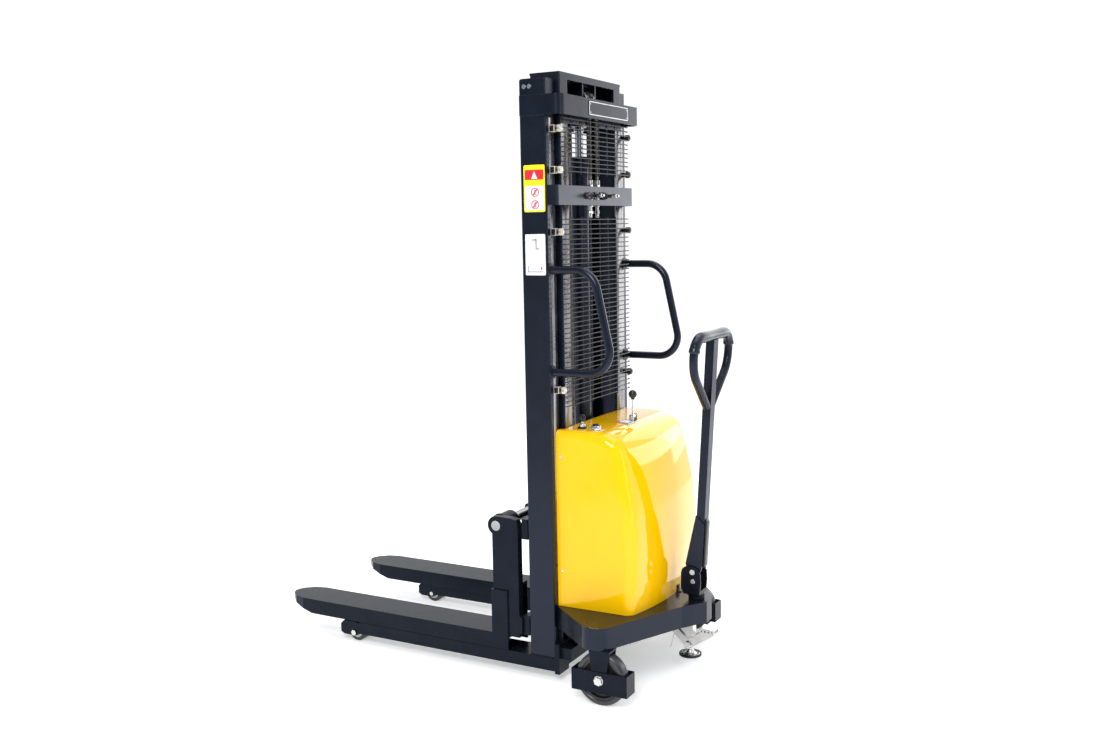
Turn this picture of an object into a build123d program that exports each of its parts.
from build123d import *
import math
import os

# Pedestrian straddle stacker with a two-stage mast. Millimetres throughout.
# -X is the fork end, +X the operator end, -Y the machine's left, +Z up from the floor.
# Below, x = 0 is the rear face of the outer mast posts. save() moves every piece so that
# x = 0 of the finished part is the middle of the overall length.

os.makedirs("parts", exist_ok=True)

# Overall
MIDDLE_X = -362.882
FORK_TIP_X = -1209.0
INNER_TOP_Z = 2080.0

# Outer mast: channels opening inwards
POST_OUT_Y = 306.0
POST_TIP_Y = 246.0
POST_DEPTH = 99.0
POST_Z = (82.0, 2054.0)
WEB = 8.0
FLANGE = 11.0

# Inner mast: channels opening inwards
RAIL_OUT_Y = 235.0
RAIL_TIP_Y = 180.0
RAIL_X = (-97.0, 16.0)
RAIL_Z = (110.0, 2072.0)

# Rollers, chains and cylinder
INNER_ROLLER_R = 38.2
INNER_ROLLER_X = -49.5
CARRIAGE_ROLLER_R = 45.2
CARRIAGE_ROLLER_X = -40.5
CARRIAGE_ROLLER_Z = (197.0, 430.0)
SHEAVE_X, SHEAVE_Z = -35.0, 1985.0
SHEAVE_ROOT_R = 50.0
CHAIN_Y = 27.0
CHAIN_T = 10.0
CHAIN_W = 14.0
CYLINDER_X = -35.0
CYLINDER_R = 31.0
ROD_R = 15.0

PIPE_X, PIPE_Y, PIPE_Z = 66.0, -150.0, 95.0

# Forks and carriage
SHAFT_X, SHAFT_Z, SHAFT_R = -226.0, 530.0, 18.0
FORK_IN_Y, FORK_OUT_Y = 175.0, 318.0
FORK_UNDER_Z, FORK_TOP_Z = 86.0, 142.7

# Legs
LEG_Y = (205.0, 311.0)
LEG_Z = (36.0, 82.0)
LOAD_WHEEL_X, LOAD_WHEEL_R = -876.0, 38.0

# Tie bars, mesh guards and grab handles
BAND_Z = (1934.0, 2000.0)
TIE_BAR_Z = (1640.0, 1706.0)
GUARD_X = 34.0
GUARD_WIRE_Y = (-187.0, -119.0, -50.0, 20.0, 86.0, 152.0)
GRAB_Y, GRAB_Z = -290.0, (1081.0, 1425.5)

# Deck and cover
DECK_Z = (190.0, 265.0)
COVER_FRONT_X = 18.0

# Casters and steering
CASTER_X, CASTER_Y = 231.0, 403.0
WHEEL_R = 90.0
AXLE_R = 10.0
STEER_X = 402.0
ARM_R = 38.0
ARM_ANGLE = 140.0
LOW_ARM_Z = 185.5
LEFT_ROD_Z, RIGHT_ROD_Z = (201.0, 207.0), (193.0, 199.0)

# Tiller: leaned back in degrees, with heights along the leaned arm from its pivot
PIVOT_X, PIVOT_Z = 401.0, 367.7
TILLER_LEAN = 3.38
ARM_OFFSET = 13.4
JOIN_W, CORNER_W, TOP_W = 584.0, 720.0, 828.7
LOOP_HALF, GRIP_HALF = 167.0, 160.0

# Controls: the cover's top is slightly domed, so each stands at its own height
LEVER_X, LEVER_Y, LEVER_Z = 168.0, -10.0, 898.0
LEVER_BASE_Z = 886.0
KEY_X, KEY_Y, KEY_BASE_Z = 74.0, -219.0, 884.4
BUTTON_X, BUTTON_Y, BUTTON_BASE_Z = 127.0, -222.0, 886.0

# Floor lock
LOCK_PIVOT = (283.0, 126.0)
LOCK_JOINT = (345.7, 65.3)
LOCK_Y = 80.0


def block(x0, x1, y0, y1, z0, z1):
    centre = Pos((x0 + x1) / 2, (y0 + y1) / 2, (z0 + z1) / 2)
    return centre * Box(abs(x1 - x0), abs(y1 - y0), abs(z1 - z0))


def bar_x(r, x0, x1, y, z):
    return Pos((x0 + x1) / 2, y, z) * Rot(0, 90, 0) * Cylinder(r, abs(x1 - x0))


def bar_y(r, y0, y1, x, z):
    return Pos(x, (y0 + y1) / 2, z) * Rot(90, 0, 0) * Cylinder(r, abs(y1 - y0))


def bar_z(r, z0, z1, x, y):
    return Pos(x, y, (z0 + z1) / 2) * Cylinder(r, abs(z1 - z0))


def bar_between(r, start, end):
    line = Line(start, end)
    return sweep((line ^ 0) * Circle(r), path=line)


def hexagon_y(across, y0, y1, x, z):
    outline = RegularPolygon(across / 2, 6, major_radius=False)
    nut = extrude(outline, abs(y1 - y0))
    return Pos(x, max(y0, y1), z) * Rot(90, 0, 0) * nut


def plate_y(outline, y0, y1):
    """Flat plate with its outline given as (x, z) points."""
    low = min(y0, y1)
    wire = Polyline(*[(x, low, z) for x, z in outline], close=True)
    return extrude(make_face(wire), abs(y1 - y0), dir=(0, 1, 0))


def plate_z(outline, z0, z1):
    """Flat plate with its outline given as (x, y) points."""
    wire = Polyline(*[(x, y, z0) for x, y in outline], close=True)
    return extrude(make_face(wire), z1 - z0, dir=(0, 0, 1))


def tube_along(path, r, bore=0):
    section = Circle(r)
    if bore:
        section -= Circle(bore)
    return sweep((path ^ 0) * section, path=path)


def other_side(shape):
    return mirror(shape, about=Plane.XZ)


def both(shape):
    return [shape, other_side(shape)]


def joined(*pieces):
    flat = []
    for piece in pieces:
        flat.extend(piece if isinstance(piece, list) else [piece])
    return Part() + flat


def save(name, *pieces):
    whole = Pos(-MIDDLE_X, 0, 0) * joined(*pieces)
    export_step(whole, f"parts/{name}.step")


def save_pair(name, shape):
    """The same piece on the machine's left (-Y) and right (+Y)."""
    save(name + "_left", shape)
    save(name + "_right", other_side(shape))


def channel(x0, x1, y_out, y_tip, z0, z1, web, flange, corner):
    """Left-hand mast channel, its web outermost and its mouth towards the middle."""
    outer = block(x0, x1, -y_out, -y_tip, z0, z1)
    corners = outer.edges().filter_by(Axis.Z).group_by(Axis.Y)[0]
    outer = fillet(corners, corner)
    mouth = block(x0 + flange, x1 - flange, -y_out + web, -y_tip + 1, z0 - 1, z1 + 1)
    return outer - mouth


# Outer mast -------------------------------------------------------------------------------

post = channel(-POST_DEPTH, 0, POST_OUT_Y, POST_TIP_Y, *POST_Z, WEB, FLANGE, 5)
nose = block(-POST_DEPTH - 1, -POST_DEPTH + 12, -POST_OUT_Y - 1, -POST_TIP_Y + 1, 2042, 2056)
nose -= bar_y(12, -POST_OUT_Y - 1, -POST_TIP_Y + 1, -POST_DEPTH + 12, 2042)
save_pair("outer_mast", post - nose)

bolt_heads = []
for bolt_x in (-78, -58):
    head = bar_y(7, -POST_OUT_Y - 4, -POST_OUT_Y, bolt_x, 2028)
    bolt_heads.extend(both(head))

# Low-friction pads inside the tops of the posts, running on the inner rails' webs.
guide = joined(block(-84, -15, -298, -292, 1960, 2040), block(-60, -40, -292, -236, 1985, 2015))
save("mast_guide_pads", both(guide))

# Upper tie band: a U of flat bar, its arms lying on the posts' webs.
band_out = block(-95, 59, -312, 312, *BAND_Z)
band_out = fillet(band_out.edges().filter_by(Axis.Z).group_by(Axis.X)[-1], 28)
band_in = block(-96, 53, -306, 306, BAND_Z[0] - 1, BAND_Z[1] + 1)
band_in = fillet(band_in.edges().filter_by(Axis.Z).group_by(Axis.X)[-1], 22)
save("upper_tie_band", band_out - band_in)

plate = block(59, 61, -107, 206, 1943, 1993)
rating_plate = fillet(plate.edges().filter_by(Axis.X), 6)

# Middle tie bar: carries the chain anchors. Its bent ends butt against the posts' rear faces.
bar_out = block(0, 34.5, -306, 306, *TIE_BAR_Z)
bar_out = fillet(bar_out.edges().filter_by(Axis.Z).group_by(Axis.X)[-1], 20)
bar_in = block(-1, 28.5, -300, 300, TIE_BAR_Z[0] - 1, TIE_BAR_Z[1] + 1)
bar_in = fillet(bar_in.edges().filter_by(Axis.Z).group_by(Axis.X)[-1], 14)
slot = joined(
    block(28, 35, -46, 46, 1660, 1686),
    bar_x(13, 28, 35, -46, 1673),
    bar_x(13, 28, 35, 46, 1673),
)
anchor_shelf = block(6, 28.5, -70, 70, 1646, 1654)
shelf_holes = [bar_z(6.05, 1640, 1660, 20, side * CHAIN_Y) for side in (-1, 1)]
save("middle_tie_bar", bar_out - bar_in - slot, anchor_shelf - shelf_holes)

anchors = []
for side in (-1, 1):
    y = side * CHAIN_Y
    anchors.append(bar_z(6, 1598, 1712, 20, y))
    anchors.append(bar_z(8, 1654, 1664, 20, y))
    anchors.append(bar_z(8, 1636, 1646, 20, y))
    anchors.append(bar_z(8, 1612, 1622, 20, y))
    anchors.append(block(13, 27, y - 9, y + 9, 1706, 1722))
save("chain_anchors", anchors)

# Base ---------------------------------------------------------------------------------------

leg = block(-850, 0, -LEG_Y[1], -LEG_Y[0], *LEG_Z)
leg -= block(-851, -40, -LEG_Y[1] + 6, -LEG_Y[0] - 6, LEG_Z[0] - 1, LEG_Z[1] - 6)
cheek_outline = [(-848, 36), (-848, 76), (-870, 80), (-925, 80), (-940, 66), (-940, 34)]
cheek_outline += [(-925, 26), (-870, 26)]
cheeks = [plate_y(cheek_outline, -311, -303), plate_y(cheek_outline, -213, -205)]
hood = block(-850, -815, -303, -213, 70, 76)
leg_full = joined(leg, cheeks, hood)
leg_full -= bar_y(8, -320, -200, LOAD_WHEEL_X, LOAD_WHEEL_R)
save_pair("straddle_leg", leg_full)

axle = bar_y(7.95, -314, -205, LOAD_WHEEL_X, LOAD_WHEEL_R)
head = hexagon_y(20, -317, -311, LOAD_WHEEL_X, LOAD_WHEEL_R)
save("load_axles", both(joined(axle, head)))

roller = bar_y(LOAD_WHEEL_R, -296, -220, LOAD_WHEEL_X, LOAD_WHEEL_R)
roller = chamfer(roller.edges().filter_by(GeomType.CIRCLE), 3)
save_pair("load_wheel", roller - bar_y(8.02, -300, -216, LOAD_WHEEL_X, LOAD_WHEEL_R))

base = joined(
    block(-96, 0, -LEG_Y[0], LEG_Y[0], 42, 82),
    both(block(0, 18, -311, -240, 27, 135)),
    block(0, 18, -240, 240, 42, 82),
    block(18, 58, -296, 296, 80, 120),
    both(block(2, 14, -280, -272, 135, 190)),
)
save("base_frame", base - bar_x(6.5, 17, 60, PIPE_Y, PIPE_Z))

# Deck ---------------------------------------------------------------------------------------

deck_half = [(20, -240), (0, -240), (0, -288), (179, -434), (245, -434), (392, -112), (449, -24)]
deck_outline = deck_half + [(x, -y) for x, y in reversed(deck_half)]


def deck_face(inset, z):
    face = make_face(Polyline(*[(x, y, z) for x, y in deck_outline], close=True))
    face = fillet(face.vertices().filter_by(lambda v: 200 < v.X < 300), 40)
    face = fillet(face.vertices().filter_by(lambda v: 170 < v.X < 190), 40)
    face = fillet(face.vertices().filter_by(lambda v: v.X > 448), 14)
    if inset:
        face = offset(face, amount=-inset)
    return face


deck = extrude(deck_face(0, DECK_Z[0]), DECK_Z[1] - DECK_Z[0], dir=(0, 0, 1))
deck -= extrude(deck_face(4, DECK_Z[0] - 1), DECK_Z[1] - DECK_Z[0] - 3, dir=(0, 0, 1))
deck -= bar_z(13.5, 250, 280, STEER_X, 0)
deck -= bar_z(7, 250, 280, PIPE_X, PIPE_Y)
clip = joined(block(314, 317, 34, 52, 265, 290), block(314, 331, 34, 52, 265, 268))
clip = joined(clip, bar_x(3, 317, 320, 43, 280))
save("platform_deck", deck, clip)

housings = [bar_z(20, 218, 261, CASTER_X, side * CASTER_Y) for side in (-1, 1)]
housings.append(bar_z(24, 218, 261, STEER_X, 0))
bores = [bar_z(12.55, 210, 270, CASTER_X, side * CASTER_Y) for side in (-1, 1)]
bores.append(bar_z(12.55, 210, 270, STEER_X, 0))
save("steering_bearings", joined(housings) - bores)

# Yellow cover -------------------------------------------------------------------------------

# Rear profile of the cover at its side faces, from the deck up.
side_profile = [(266, 265), (260, 430), (251, 550), (237, 639), (218, 738), (198, 807)]
side_profile += [(172, 843), (130, 866)]
# How much further the cover reaches back, and how much higher it is, towards its middle.
cover_growth = [(280.0, 0.0, 0.0), (268.0, 24.0, 8.0), (240.0, 38.0, 13.0), (0.0, 56.0, 14.0)]


def cover_section(y, grow_x, grow_z, inset):
    top = 868.0 + grow_z - inset
    rear = []
    for x, z in side_profile:
        bulge = grow_x * min(1.0, 0.82 + (z - 265) / 1300)
        rear.append((x + bulge - inset, z + (grow_z - inset) * (z - 265) / 603))
    points = [(x, y, z) for x, z in rear]
    curve = Spline(*points, (60.0, y, top), tangents=[(0, 0, 1), (-1, 0, 0)])
    lines = [
        Line((60.0, y, top), (COVER_FRONT_X, y, top)),
        Line((COVER_FRONT_X, y, top), (COVER_FRONT_X, y, DECK_Z[1])),
        Line((COVER_FRONT_X, y, DECK_Z[1]), points[0]),
    ]
    return make_face(Wire([curve] + lines))


def cover_body(inset):
    sections = []
    for y, grow_x, grow_z in cover_growth:
        sections.append(cover_section(-max(y - inset, 0.0), grow_x, grow_z, inset))
    for y, grow_x, grow_z in reversed(cover_growth[:-1]):
        sections.append(cover_section(y - inset, grow_x, grow_z, inset))
    return loft(sections)


save("power_cover", cover_body(0.0) - cover_body(4.0))

screws = []
for x, z in ((22, 790), (22, 392)):
    screws.extend(both(bar_y(5, -283, -280, x, z)))
save("small_screws", bolt_heads, screws)

# Power unit under the cover -----------------------------------------------------------------

battery = block(40, 210, 10, 250, 265, 470)
battery = fillet(battery.edges().filter_by(Axis.Z), 8)
terminals = [bar_z(9, 470, 486, 62, 50), bar_z(9, 470, 486, 62, 210)]
save("battery", battery, terminals)

tank = block(50, 190, -230, -70, 265, 430)
tank = fillet(tank.edges().filter_by(Axis.Z), 12)
filler_cap = bar_z(14, 430, 446, 165, -215)

manifold = block(80, 160, -190, -110, 430, 500)
valve = bar_y(12, -110, -80, 100, 465)

motor = joined(bar_z(48, 500, 640, 120, -150), bar_z(38, 640, 655, 120, -150))
pipe_path = FilletPolyline((80, PIPE_Y, 465), (PIPE_X, PIPE_Y, 465), (PIPE_X, PIPE_Y, PIPE_Z),
                           (CYLINDER_X, PIPE_Y, PIPE_Z), (CYLINDER_X, -31, PIPE_Z), radius=10)
pipe = tube_along(pipe_path, 5)
save("hydraulic_unit", tank, filler_cap, manifold, valve, motor, pipe)

# Lift cylinder and inner mast ----------------------------------------------------------------

barrel = bar_z(CYLINDER_R, 100, 1790, CYLINDER_X, 0) - bar_z(24, 108, 1795, CYLINDER_X, 0)
cap = bar_z(34, 1776, 1812, CYLINDER_X, 0)
cap = fillet(cap.edges().filter_by(GeomType.CIRCLE).sort_by(Axis.Z)[-1], 8)
cap -= bar_z(24, 1770, 1790, CYLINDER_X, 0)
foot = block(-66, -4, -31, 31, 82, 100)
cylinder = joined(barrel, cap, foot) - bar_z(ROD_R + 0.05, 1785, 1815, CYLINDER_X, 0)
save("lift_cylinder", cylinder)

rod_top = bar_z(18, 1900, 1915, CYLINDER_X, 0)
save("cylinder_rod", bar_z(ROD_R, 300, 1915, CYLINDER_X, 0), rod_top)

rail = channel(*RAIL_X, RAIL_OUT_Y, RAIL_TIP_Y, *RAIL_Z, WEB, FLANGE, 5)
stub = joined(bar_y(12, -288, -235, INNER_ROLLER_X, 152), bar_y(18, -251, -235, INNER_ROLLER_X, 152))
save_pair("inner_mast", joined(rail, stub))

top_cap = both(block(-97, 16, -235, -180, 2072, INNER_TOP_Z))
front_plate = block(-97, -88, -180, 180, 2050, 2072)
front_low = both(block(-97, -88, -180, -44, 1905, 2050))
rear_top = block(7, 16, -180, 180, 2057, INNER_TOP_Z)
lid = block(-97, 16, -180, 180, 2072, INNER_TOP_Z)
rear_low = both(block(7, 16, -180, -44, 1915, 2005))
foot_beam = block(7, 16, -180, 180, 110, 165)
save("inner_mast_crossbars", top_cap, front_plate, front_low, rear_top, lid, rear_low, foot_beam)

cheek = block(-88, 7, -52, -44, 1915, 2060) - bar_y(12.5, -60, -40, SHEAVE_X, SHEAVE_Z)
crosshead = block(-70, 0, -44, 44, 1915, 1927)
tie = block(-60, -10, -44, 44, 2052, 2060)
pin = bar_y(12.5, -58, 58, SHEAVE_X, SHEAVE_Z)
collars = [bar_y(17, -43, -36, SHEAVE_X, SHEAVE_Z), bar_y(17, -18, 18, SHEAVE_X, SHEAVE_Z),
           bar_y(17, 36, 43, SHEAVE_X, SHEAVE_Z)]
save("sheave_bracket", both(cheek), crosshead, tie, pin, collars)

sheaves = []
for side in (-1, 1):
    y = side * CHAIN_Y
    wheel = bar_y(57, y - 8.5, y + 8.5, SHEAVE_X, SHEAVE_Z)
    rim = bar_y(60, y - 7.5, y + 7.5, SHEAVE_X, SHEAVE_Z) - bar_y(SHEAVE_ROOT_R - 0.4, y - 8, y + 8,
                                                                  SHEAVE_X, SHEAVE_Z)
    sheaves.append(wheel - rim - bar_y(12.56, y - 9, y + 9, SHEAVE_X, SHEAVE_Z))
save("chain_sheaves", sheaves)


def strand(x, z0, z1):
    half_t, half_w = CHAIN_T / 2, CHAIN_W / 2
    return [block(x - half_t, x + half_t, side * CHAIN_Y - half_w, side * CHAIN_Y + half_w, z0, z1)
            for side in (-1, 1)]


PITCH_R = SHEAVE_ROOT_R + CHAIN_T / 2
save("lift_chain_rear", strand(SHEAVE_X + PITCH_R, 1722, SHEAVE_Z))
save("lift_chain_front", strand(SHEAVE_X - PITCH_R, 300, SHEAVE_Z))

over = []
for side in (-1, 1):
    y = side * CHAIN_Y
    ring = bar_y(PITCH_R + CHAIN_T / 2, y - CHAIN_W / 2, y + CHAIN_W / 2, SHEAVE_X, SHEAVE_Z)
    ring -= bar_y(PITCH_R - CHAIN_T / 2, y - 10, y + 10, SHEAVE_X, SHEAVE_Z)
    ring -= block(-120, 60, y - 10, y + 10, 1900, SHEAVE_Z)
    over.append(ring)
save("lift_chain_top", over)


def roller_pair(x, z, r, y0, y1, bore):
    wheel = bar_y(r, y0, y1, x, z)
    wheel = chamfer(wheel.edges().filter_by(GeomType.CIRCLE), 2)
    return both(wheel - bar_y(bore, y0 - 1, y1 + 1, x, z))


save("inner_mast_rollers", roller_pair(INNER_ROLLER_X, 152, INNER_ROLLER_R, -286, -252, 12.06))

# Carriage -----------------------------------------------------------------------------------

upper_beam = block(-128, -104, -300, 300, 490, 562)
lower_beam = block(-128, -104, -300, 300, 145, 215)
uprights = both(block(-128, -104, -172, -160, 215, 490))
roller_plates = both(block(-104, -8, -172, -160, 145, 480))
arms = []
for y0, y1 in ((-60, -44), (44, 60)):
    arm_outline = [(-104, 470), (-104, 562), (-140, 562), (-226, 562), (-252, 548), (-258, 530),
                   (-252, 512), (-226, 498), (-140, 470)]
    arms.append(plate_y(arm_outline, y0, y1))
chain_lug = joined(block(-104, -80, -46, 46, 262, 280), block(-128, -104, -46, 46, 215, 320))

lugs = []
for side in (-1, 1):
    y = side * CHAIN_Y
    lugs.append(bar_z(6, 280, 292, SHEAVE_X - PITCH_R, y))
    lugs.append(block(-97, -83, y - 9, y + 9, 286, 300))
    lugs.append(bar_z(8, 252, 262, SHEAVE_X - PITCH_R, y))
stubs = []
for z in CARRIAGE_ROLLER_Z:
    stubs.append(bar_y(14, -224, -172, CARRIAGE_ROLLER_X, z))
    stubs.append(bar_y(20, -188, -172, CARRIAGE_ROLLER_X, z))
carriage = joined(upper_beam, lower_beam, uprights, roller_plates, arms, chain_lug, lugs,
                  both(joined(stubs)))
carriage -= bar_y(SHAFT_R, -320, 320, SHAFT_X, SHAFT_Z)
save("fork_carriage", carriage)

save("fork_shaft", bar_y(SHAFT_R, -313, 313, SHAFT_X, SHAFT_Z))

for name, z in zip(("lower", "upper"), CARRIAGE_ROLLER_Z):
    save("carriage_rollers_" + name,
         roller_pair(CARRIAGE_ROLLER_X, z, CARRIAGE_ROLLER_R, -222, -192, 14.06))

# Forks --------------------------------------------------------------------------------------

blade_plan = [(-183, -FORK_OUT_Y), (-1120, -FORK_OUT_Y), (-1165, -306), (-1196, -280),
              (FORK_TIP_X, -258), (FORK_TIP_X, -235), (-1196, -213), (-1165, -187),
              (-1120, -FORK_IN_Y), (-183, -FORK_IN_Y)]
blade_side = [(-183, FORK_UNDER_Z), (-1078, FORK_UNDER_Z), (FORK_TIP_X, 126),
              (FORK_TIP_X, FORK_TOP_Z), (-183, FORK_TOP_Z)]
blade = plate_z(blade_plan, 80, 150) & plate_y(blade_side, -320, -170)
blade -= block(-1090, -183, 8 - FORK_OUT_Y, -8 - FORK_IN_Y, 80, FORK_TOP_Z - 8)
heel = block(-248, -183, -FORK_OUT_Y, -FORK_IN_Y, FORK_UNDER_Z, 300)
heel -= block(-240, -183, 8 - FORK_OUT_Y, -8 - FORK_IN_Y, 80, 292)
slab_outline = [(-139, 135), (-139, 540), (-146, 557), (-170, 562), (-226, 564), (-243, 559),
                (-255, 547), (-260, 530), (-255, 513), (-243, 500), (-243, 135)]
slab = plate_y(slab_outline, -311, -281)
hub = bar_y(34, -311, -207, SHAFT_X, SHAFT_Z)
rib_outline = [(-243, 300), (-183, 300), (-183, 330), (-212, 380), (-243, 400)]
rib = plate_y(rib_outline, -281, -262)
pad = block(-139, -128.4, -311, -281, 150, 210)
fork = joined(blade, heel, slab, hub, rib, pad)
fork -= bar_y(SHAFT_R + 0.08, -320, -200, SHAFT_X, SHAFT_Z)
save_pair("fork", fork)

# Mesh guards and grab handles ----------------------------------------------------------------


def mesh_guard(z0, z1, rows):
    wires = []
    step = (z1 - z0) / rows
    for row in range(rows + 1):
        wires.append(bar_y(2, -258, 258, GUARD_X + 2, z0 + row * step))
    for y in GUARD_WIRE_Y:
        wires.append(bar_z(2.5, z0 - 8, z1 + 8, GUARD_X - 2, y))
    return wires


save("mesh_guards", mesh_guard(1752, 1926, 11), mesh_guard(960, 1592, 38))

clamps = []
for z in (1890, 1755, 1551, 1019):
    for side in (-1, 1):
        y0, y1 = sorted((side * 259, side * 285))
        reach = 46 if side < 0 else 38
        clamp = block(0, reach, y0, y1, z - 13, z + 13)
        clamp += bar_x(6, reach, reach + 4, (y0 + y1) / 2, z)
        clamps.append(clamp)
save("guard_clamps", clamps)

grip_path = FilletPolyline((3, GRAB_Y, GRAB_Z[1]), (158.7, GRAB_Y, GRAB_Z[1]),
                           (233.5, GRAB_Y, GRAB_Z[0]), (3, GRAB_Y, GRAB_Z[0]), radius=[80, 75])
grip = tube_along(grip_path, 13.5)
feet = [bar_x(22, 0, 5, GRAB_Y, z) for z in GRAB_Z]
handle = joined(grip, feet) - block(-30, 0, -330, -250, 1000, 1500)
save("grab_handles", both(handle))

# Casters ------------------------------------------------------------------------------------


def polar(angle, radius=ARM_R):
    return radius * math.cos(math.radians(angle)), radius * math.sin(math.radians(angle))


def arm_plate(x, y, angle, z0=208.0):
    """Steering arm: a hub and a pin end joined by a tapered link."""
    z1 = z0 + 6
    dx, dy = polar(angle)
    link = plate_z([(x - dy * 0.35, y + dx * 0.35), (x + dx - dy * 0.2, y + dy + dx * 0.2),
                    (x + dx + dy * 0.2, y + dy - dx * 0.2), (x + dy * 0.35, y - dx * 0.35)], z0, z1)
    return joined(bar_z(17, z0, z1, x, y), link, bar_z(9, z0, z1, x + dx, y + dy))


def caster_fork(side, pin_low, angle):
    y = side * CASTER_Y
    cheek = [(CASTER_X - 38, 189.5), (CASTER_X + 38, 189.5), (CASTER_X + 25, 100),
             (CASTER_X + 25, 72), (CASTER_X - 25, 72), (CASTER_X - 25, 100)]
    dx, dy = polar(angle)
    piece = joined(
        block(CASTER_X - 38, CASTER_X + 38, y - 27.5, y + 27.5, 183.5, 189.5),
        plate_y(cheek, y - 27.5, y - 23),
        plate_y(cheek, y + 23, y + 27.5),
        bar_z(12.5, 189.5, 258, CASTER_X, y),
        arm_plate(CASTER_X, y, angle),
        bar_z(5, pin_low, 208, CASTER_X + dx, y + dy),
    )
    return piece - bar_y(AXLE_R, y - 40, y + 40, CASTER_X, WHEEL_R)


save("caster_fork_left", caster_fork(-1, LEFT_ROD_Z[0] - 1, ARM_ANGLE))
save("caster_fork_right", caster_fork(1, RIGHT_ROD_Z[0] - 1, -ARM_ANGLE))

y = -CASTER_Y
guard = block(CASTER_X - 101, CASTER_X + 101, y - 31, y + 31, 46, 118)
guard -= block(CASTER_X - 98, CASTER_X + 98, y - 27.5, y + 27.5, 40, 130)
guard -= bar_y(AXLE_R, y - 40, y + 40, CASTER_X, WHEEL_R)
save_pair("toe_guard", guard)

axle = joined(
    bar_y(AXLE_R - 0.05, y - 31, y + 31, CASTER_X, WHEEL_R),
    hexagon_y(30, y - 43, y - 31, CASTER_X, WHEEL_R),
    hexagon_y(30, y + 31, y + 41, CASTER_X, WHEEL_R),
)
save_pair("caster_axle", axle)

core = bar_y(72, y - 19, y + 19, CASTER_X, WHEEL_R)
core -= bar_y(62, y - 20, y - 9, CASTER_X, WHEEL_R)
core -= bar_y(62, y + 9, y + 20, CASTER_X, WHEEL_R)
core = joined(core, bar_y(22, y - 22, y + 22, CASTER_X, WHEEL_R))

tyre = bar_y(WHEEL_R, y - 22, y + 22, CASTER_X, WHEEL_R)
tyre = fillet(tyre.edges().filter_by(GeomType.CIRCLE), 6)
tyre -= bar_y(72, y - 30, y + 30, CASTER_X, WHEEL_R)
wheel = joined(core, tyre) - bar_y(AXLE_R + 0.02, y - 30, y + 30, CASTER_X, WHEEL_R)
save_pair("steer_wheel", wheel)

# Steering -----------------------------------------------------------------------------------


def tie_rod(side, z, angle):
    dx, dy = polar(angle)
    x0, y0 = STEER_X + dx, dy
    x1, y1 = CASTER_X + dx, side * CASTER_Y + dy
    length = math.hypot(x1 - x0, y1 - y0)
    ux, uy = (x1 - x0) / length, (y1 - y0) / length
    strip = [(x0 - uy * 5, y0 + ux * 5), (x1 - uy * 5, y1 + ux * 5),
             (x1 + uy * 5, y1 - ux * 5), (x0 + uy * 5, y0 - ux * 5)]
    rod = joined(plate_z(strip, *z), bar_z(9, *z, x0, y0), bar_z(9, *z, x1, y1))
    return rod - bar_z(5.06, z[0] - 1, z[1] + 1, x0, y0) - bar_z(5.06, z[0] - 1, z[1] + 1, x1, y1)


save("tie_rod_left", tie_rod(-1, LEFT_ROD_Z, ARM_ANGLE))
save("tie_rod_right", tie_rod(1, RIGHT_ROD_Z, -ARM_ANGLE))

# The shaft has one arm above the two tie rods and one below them, joined by a slim journal,
# so that each rod can swing across under the shaft without meeting the other rod's pin.
pin_dx, pin_dy = polar(ARM_ANGLE)
steer_shaft = joined(
    bar_z(12.5, 208, 286, STEER_X, 0),
    bar_z(8, LOW_ARM_Z, 208, STEER_X, 0),
    arm_plate(STEER_X, 0, ARM_ANGLE),
    arm_plate(STEER_X, 0, -ARM_ANGLE, LOW_ARM_Z),
    bar_z(5, LEFT_ROD_Z[0] - 1, 208, STEER_X + pin_dx, pin_dy),
    bar_z(5, LOW_ARM_Z, RIGHT_ROD_Z[1] + 1, STEER_X + pin_dx, -pin_dy),
)
boss = joined(bar_z(28.5, 265.4, 278, STEER_X, 0), bar_z(22, 278, 286, STEER_X, 0))
seat = joined(
    block(366, 426, -33.5, 33.5, 286, 299),
    block(STEER_X - 26, STEER_X + 20, -24, 24, 280, 286),
)
ear_outline = [(366, 290), (426, 290), (430, 330), (428, 362), (418, 378), (401, 386),
               (376, 386), (362, 376), (357, 360), (357, 306)]
ears = [plate_y(ear_outline, -33.5, -27.5), plate_y(ear_outline, 27.5, 33.5)]
bracket = joined(steer_shaft, boss, seat, ears)
bracket -= bar_y(7.06, -40, 40, PIVOT_X, PIVOT_Z)
save("tiller_bracket", bracket)

stop_bolt = joined(
    bar_y(6, -27.5, 27.5, 402.8, 334.5),
    bar_y(8.5, -39, -33.5, 402.8, 334.5),
    bar_y(8.5, 33.5, 39, 402.8, 334.5),
)

# Tiller: built upright about its pivot, then leaned back.


def leaned(shape):
    return Pos(PIVOT_X, 0, PIVOT_Z) * Rot(0, TILLER_LEAN, 0) * shape


arm = block(ARM_OFFSET - 15, ARM_OFFSET + 15, -20, 20, 27, TOP_W - 14)
arm -= block(ARM_OFFSET - 12, ARM_OFFSET + 12, -17, 17, 20, TOP_W - 18)
gusset_outline = [(-31.0, 24), (-22, -2), (-14, -15), (0, -21), (14, -15), (25, 0), (29.5, 18),
                  (29.5, 172), (-2.5, 200)]
gussets = [plate_y(gusset_outline, -26, -20), plate_y(gusset_outline, 20, 26)]
knuckle = bar_y(14, -20, 20, 0, 0)
arm_piece = joined(arm, gussets, knuckle) - bar_y(7.06, -40, 40, 0, 0)
save("tiller_arm", leaned(arm_piece))

pivot = joined(bar_y(7, -34, 34, 0, 0), bar_y(9.5, -40, -33.5, 0, 0), bar_y(9.5, 33.5, 40, 0, 0))
save("tiller_bolts", stop_bolt, leaned(pivot))


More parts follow.
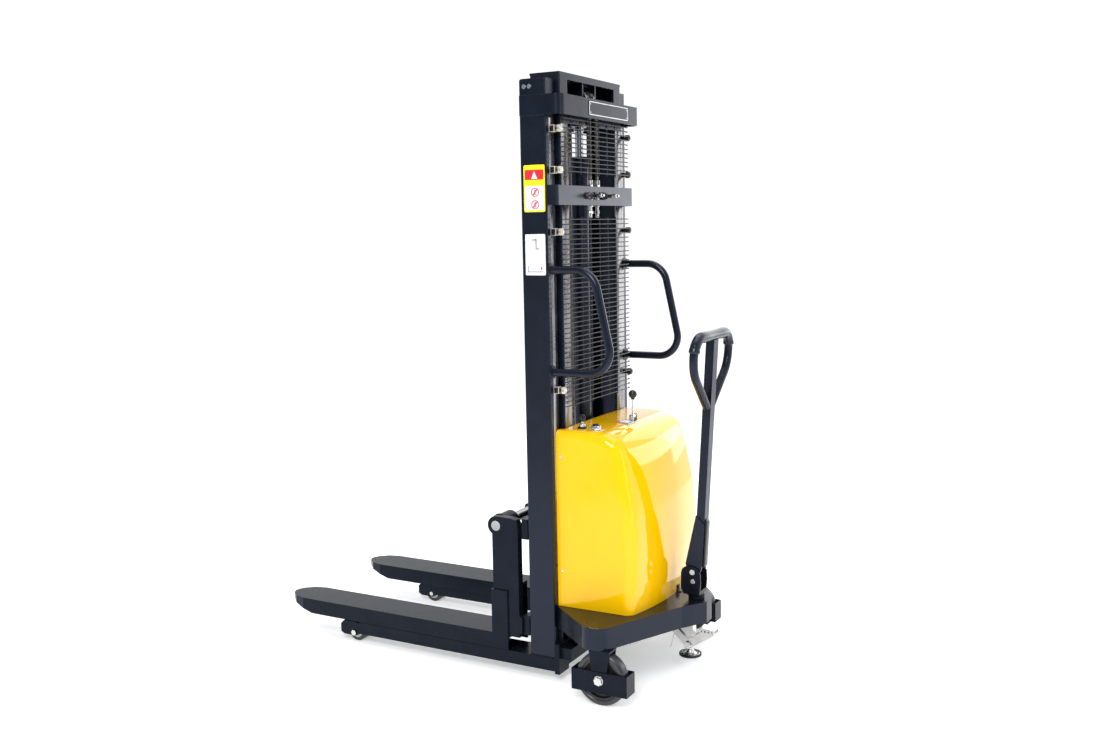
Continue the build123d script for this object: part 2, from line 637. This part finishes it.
def loop_path():
    side = [(20.5, JOIN_W), (LOOP_HALF, CORNER_W), (GRIP_HALF, TOP_W)]
    points = side + [(-y, w) for y, w in reversed(side)]
    return FilletPolyline(*[(ARM_OFFSET, y, w) for y, w in points], radius=[105, 56, 56, 105])


loop_tube = tube_along(loop_path(), 14.5) - block(-10, 40, -20, 20, 520, 680)
loop_tube -= block(ARM_OFFSET - 15, ARM_OFFSET + 15, -20, 20, 780, TOP_W - 14)
save("tiller_loop", leaned(loop_tube))

sleeve = tube_along(loop_path(), 20, 14.5) & block(-20, 50, -230, 230, TOP_W - 24, TOP_W + 30)
sleeve -= block(ARM_OFFSET - 25, ARM_OFFSET + 25, -20, 20, 780, TOP_W - 12)
save("tiller_grip", leaned(sleeve))

# Controls on top of the cover ---------------------------------------------------------------

lever_plate = block(140, 184, -84, 6, LEVER_BASE_Z, LEVER_BASE_Z + 1.5)
lever_cheek = block(LEVER_X - 8, LEVER_X + 8, LEVER_Y - 14, LEVER_Y - 10, LEVER_BASE_Z + 1.5,
                    LEVER_Z + 7)
lever_cheeks = [lever_cheek, Pos(0, 24, 0) * lever_cheek]
lever_pin = bar_y(3, LEVER_Y - 15, LEVER_Y + 15, LEVER_X, LEVER_Z)
key_ring = bar_z(17, KEY_BASE_Z, KEY_BASE_Z + 4, KEY_X, KEY_Y)
button_ring = bar_z(15, BUTTON_BASE_Z, BUTTON_BASE_Z + 10, BUTTON_X, BUTTON_Y)
button_ring -= bar_z(11.1, BUTTON_BASE_Z + 1, BUTTON_BASE_Z + 12, BUTTON_X, BUTTON_Y)
save("panel_trim", rating_plate, lever_plate, lever_cheeks, lever_pin, key_ring, button_ring)

stick = bar_z(4, LEVER_Z, 968, LEVER_X, LEVER_Y)
boss = bar_y(7, LEVER_Y - 9.5, LEVER_Y + 9.5, LEVER_X, LEVER_Z)
knob = Pos(LEVER_X, LEVER_Y, 977) * Sphere(15)
lever_bore = bar_y(3.05, LEVER_Y - 15, LEVER_Y + 15, LEVER_X, LEVER_Z)
save("control_lever", joined(stick, boss, knob) - lever_bore)

key = joined(
    bar_z(11, KEY_BASE_Z + 4.3, KEY_BASE_Z + 14, KEY_X, KEY_Y),
    block(KEY_X - 4, KEY_X + 4, KEY_Y - 1.5, KEY_Y + 1.5, KEY_BASE_Z + 14, KEY_BASE_Z + 26),
    bar_y(13, KEY_Y - 1.8, KEY_Y + 1.8, KEY_X, KEY_BASE_Z + 34),
)
save("key_switch", key)

save("push_button", bar_z(11, BUTTON_BASE_Z + 5.2, BUTTON_BASE_Z + 15, BUTTON_X, BUTTON_Y))

# Floor lock ---------------------------------------------------------------------------------


def mirrored_about(shape, y):
    return Pos(0, 2 * y, 0) * other_side(shape)


side_outline = [(362, 95), (362, 184), (270, 184), (270, 114), (296, 114), (329, 95)]
side_plate = plate_y(side_outline, LOCK_Y - 16, LOCK_Y - 13)
retainer = bar_y(8, LOCK_Y - 27, LOCK_Y - 23.4, *LOCK_PIVOT)
lock_bracket = joined(
    block(294, 376, 55, 105, 184, 190),
    block(294, 300, 60, 100, 190, 261),
    block(370, 376, 60, 100, 190, 261),
    side_plate,
    mirrored_about(side_plate, LOCK_Y),
    block(359, 362, LOCK_Y - 13, LOCK_Y + 13, 95, 184),
    bar_y(5, LOCK_Y - 24, LOCK_Y + 24, *LOCK_PIVOT),
    retainer,
    mirrored_about(retainer, LOCK_Y),
    bar_between(1.6, (298.6, 62.6, 121), (275, 62.6, 43.6)),
)
save("floor_lock_bracket", lock_bracket)

lever_outline = [(275, 117), (276, 130), (284, 138), (294, 134), (345, 84), (389, 117), (389, 135),
                 (445, 131), (445, 113), (357, 57), (346, 52), (335, 57)]
lever_side = plate_y(lever_outline, LOCK_Y - 23, LOCK_Y - 20)
for hole in range(4):
    lever_side -= bar_y(4, 50, 70, 397 + 13 * hole, 123)
nut = hexagon_y(24, LOCK_Y - 31, LOCK_Y - 23, *LOCK_JOINT)
lock_lever = joined(
    lever_side,
    mirrored_about(lever_side, LOCK_Y),
    plate_y([(391, 134.9), (445, 131), (445, 128), (391, 131.9)], LOCK_Y - 21, LOCK_Y + 21),
    bar_y(6, LOCK_Y - 24, LOCK_Y + 24, *LOCK_JOINT),
    nut,
    mirrored_about(nut, LOCK_Y),
)
save("floor_lock_lever", lock_lever - bar_y(5.05, 40, 120, *LOCK_PIVOT))

dish = Pos(LOCK_JOINT[0], LOCK_Y, 36) * Cone(37, 13, 14)
lock_foot = joined(
    bar_z(41.5, 20.6, 29, LOCK_JOINT[0], LOCK_Y),
    dish,
    bar_z(10, 43, 58, LOCK_JOINT[0], LOCK_Y),
    bar_y(11, LOCK_Y - 12, LOCK_Y + 12, *LOCK_JOINT),
)
save("floor_lock_foot", lock_foot - bar_y(6.05, 40, 120, *LOCK_JOINT))
